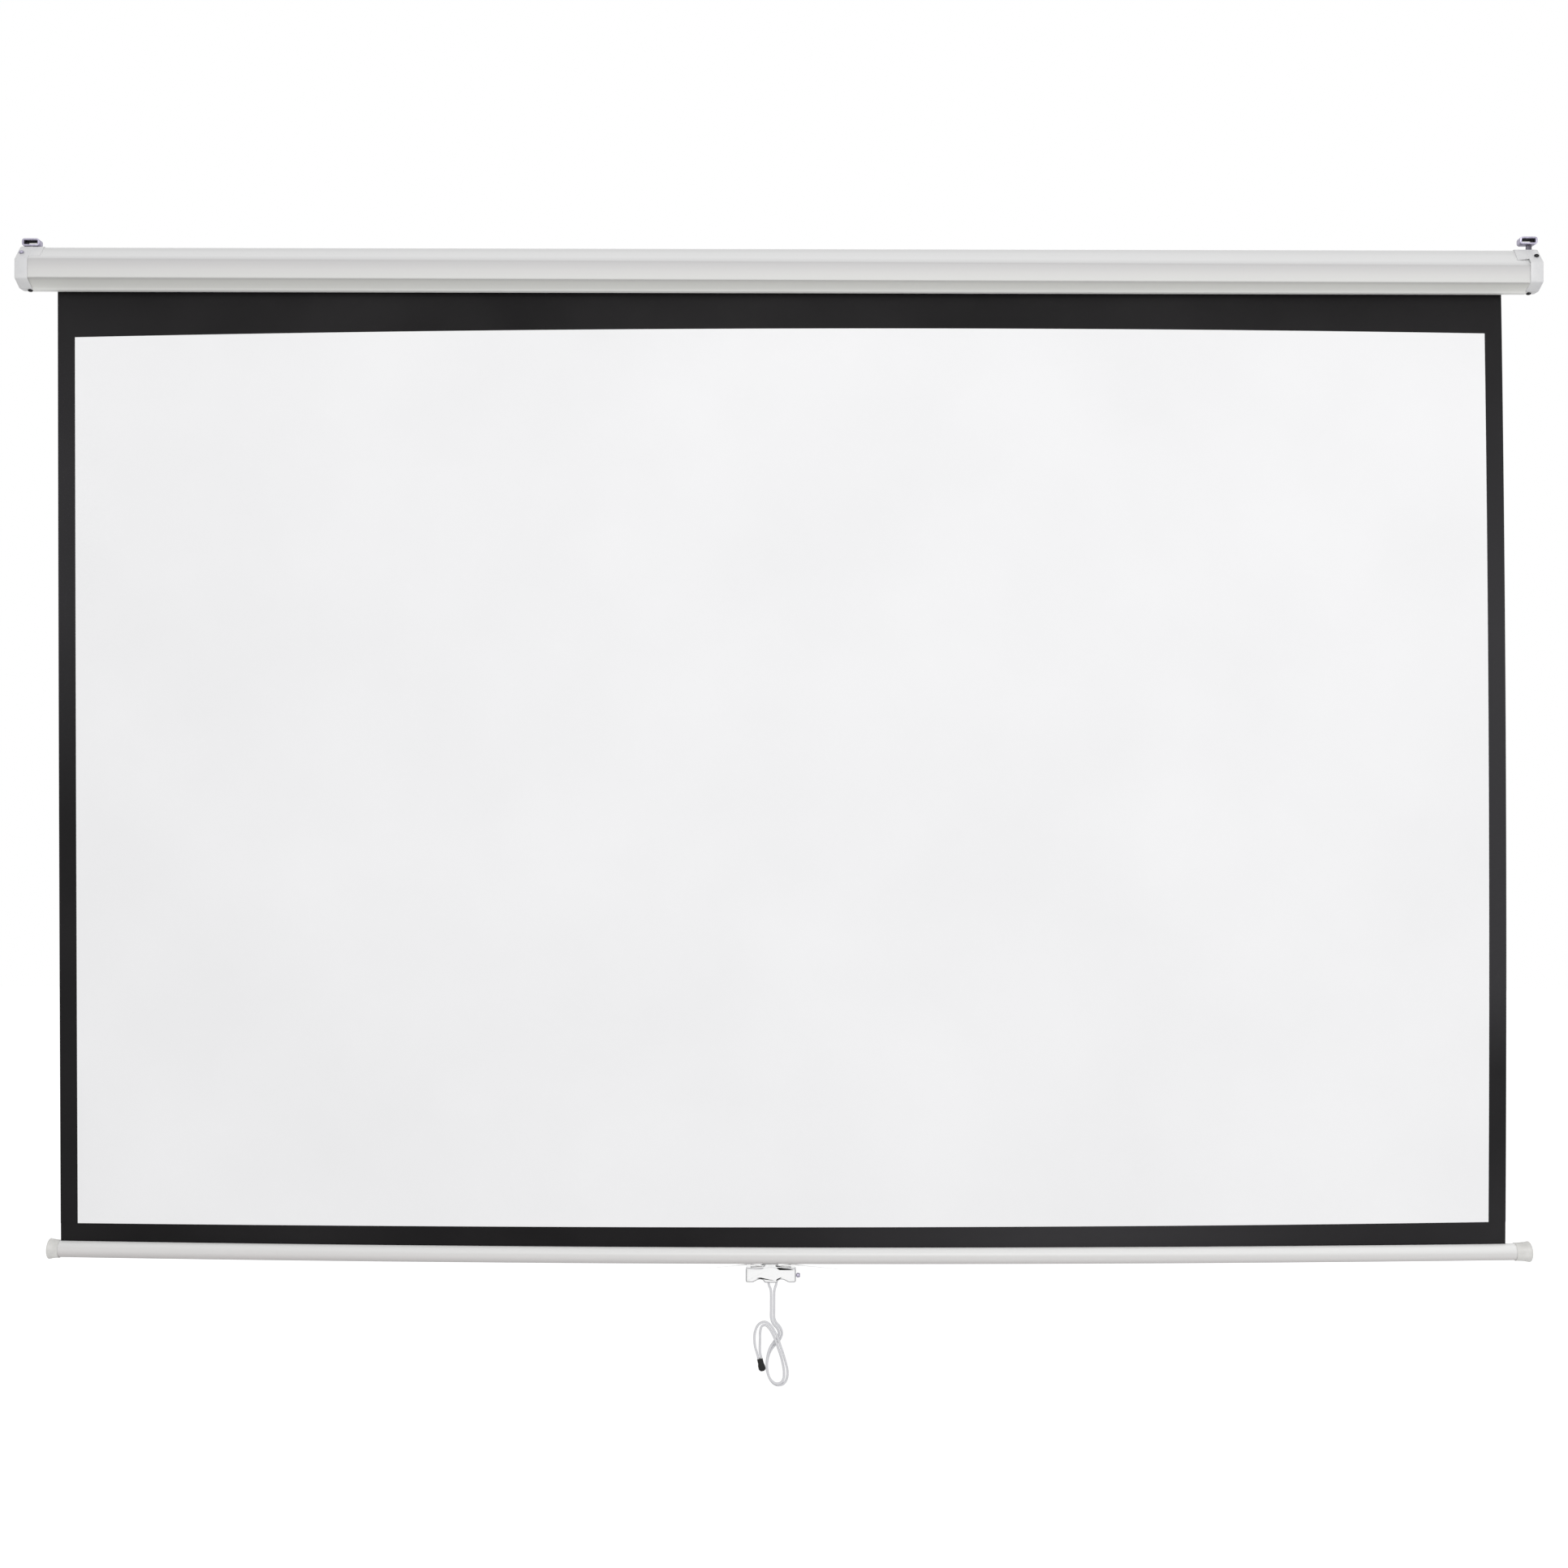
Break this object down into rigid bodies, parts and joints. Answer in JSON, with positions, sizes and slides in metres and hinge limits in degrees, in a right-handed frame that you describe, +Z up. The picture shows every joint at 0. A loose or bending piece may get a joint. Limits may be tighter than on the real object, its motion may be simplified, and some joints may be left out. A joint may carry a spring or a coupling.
{
  "type": "pull-down projector screen",
  "caption": "Manual pull-down projection screen: bent steel case with a spring roller, bordered white sheet, round foot bar, pull grip and knotted cord.",
  "frame": {"origin": "middle of the case's flat back face, where it meets the wall", "axes": "+X along the case to the viewer's right, -Y out of the wall towards the viewer, +Z up"},
  "size_m": [2.3006, 0.0677, 1.7519],
  "materials": {
    "white_steel": "satin",
    "white_plastic": "satin",
    "dark_screw": "satin",
    "zinc": "satin",
    "bright_steel": "satin",
    "black_nylon": "matte",
    "screen_cloth": "matte",
    "white_cord": "matte",
    "black_rubber": "matte"
  },
  "bodies": {
    "housing": {"case_shell": "white_steel", "end_cap_left": "white_plastic", "end_cap_right": "white_plastic", "cap_screw_top_left": "dark_screw", "cap_screw_bottom_left": "dark_screw", "cap_screw_top_right": "dark_screw", "cap_screw_bottom_right": "dark_screw", "idler_bush": "black_nylon", "spring_spindle": "bright_steel", "torsion_spring": "bright_steel", "spring_anchor": "black_nylon", "ratchet_wheel": "bright_steel", "screen_sheet": "screen_cloth"},
    "roller": {"roller_tube": "bright_steel", "screen_wraps": "screen_cloth", "idler_plug": "black_nylon", "idler_pin": "bright_steel", "roller_head": "black_nylon", "pawl_pin_upper": "bright_steel", "pawl_pin_lower": "bright_steel"},
    "bar": {"weight_bar": "white_steel", "bar_cap_left": "white_plastic", "bar_cap_right": "white_plastic", "hem_rod": "bright_steel", "pull_handle": "white_plastic", "handle_screw_left": "dark_screw", "handle_screw_right": "dark_screw", "handle_stud": "zinc", "cord_strand_a": "white_cord", "cord_strand_b": "white_cord", "cord_tip": "black_rubber"},
    "pawl_upper_body": {"pawl_upper": "bright_steel"},
    "pawl_lower_body": {"pawl_lower": "bright_steel"},
    "hanger_left": {"hanger_loop_left": "zinc", "hanger_bush_left": "black_nylon"},
    "hanger_right": {"hanger_loop_right": "zinc", "hanger_bush_right": "black_nylon"}
  },
  "joints": [
    {"name": "screen_travel", "type": "slide", "parent": "housing", "child": "bar", "axis": [0, 0, 1], "range_m": [0, 1.4406], "deforming": ["screen_sheet"]},
    {"name": "roller_spin", "type": "hinge", "parent": "housing", "child": "roller", "pos_m": [0, -0.0441, -0.002], "axis": [1, 0, 0], "range_deg": [0, 5041]},
    {"name": "pawl_upper_swing", "type": "hinge", "parent": "roller", "child": "pawl_upper_body", "pos_m": [1.1145, -0.0393, 0.00631], "axis": [1, 0, 0], "range_deg": [-30, 15]},
    {"name": "pawl_lower_swing", "type": "hinge", "parent": "roller", "child": "pawl_lower_body", "pos_m": [1.1145, -0.0489, -0.01031], "axis": [1, 0, 0], "range_deg": [-30, 15]},
    {"name": "hanger_left_slide", "type": "slide", "parent": "housing", "child": "hanger_left", "axis": [0, 0, 1], "range_m": [0, 0.008]},
    {"name": "hanger_right_slide", "type": "slide", "parent": "housing", "child": "hanger_right", "axis": [0, 0, 1], "range_m": [-0.0074, 0.0006]}
  ],
  "couplings": [
    {"joint": "roller_spin", "follows": "screen_travel", "rad_per_m": 61.061}
  ]
}
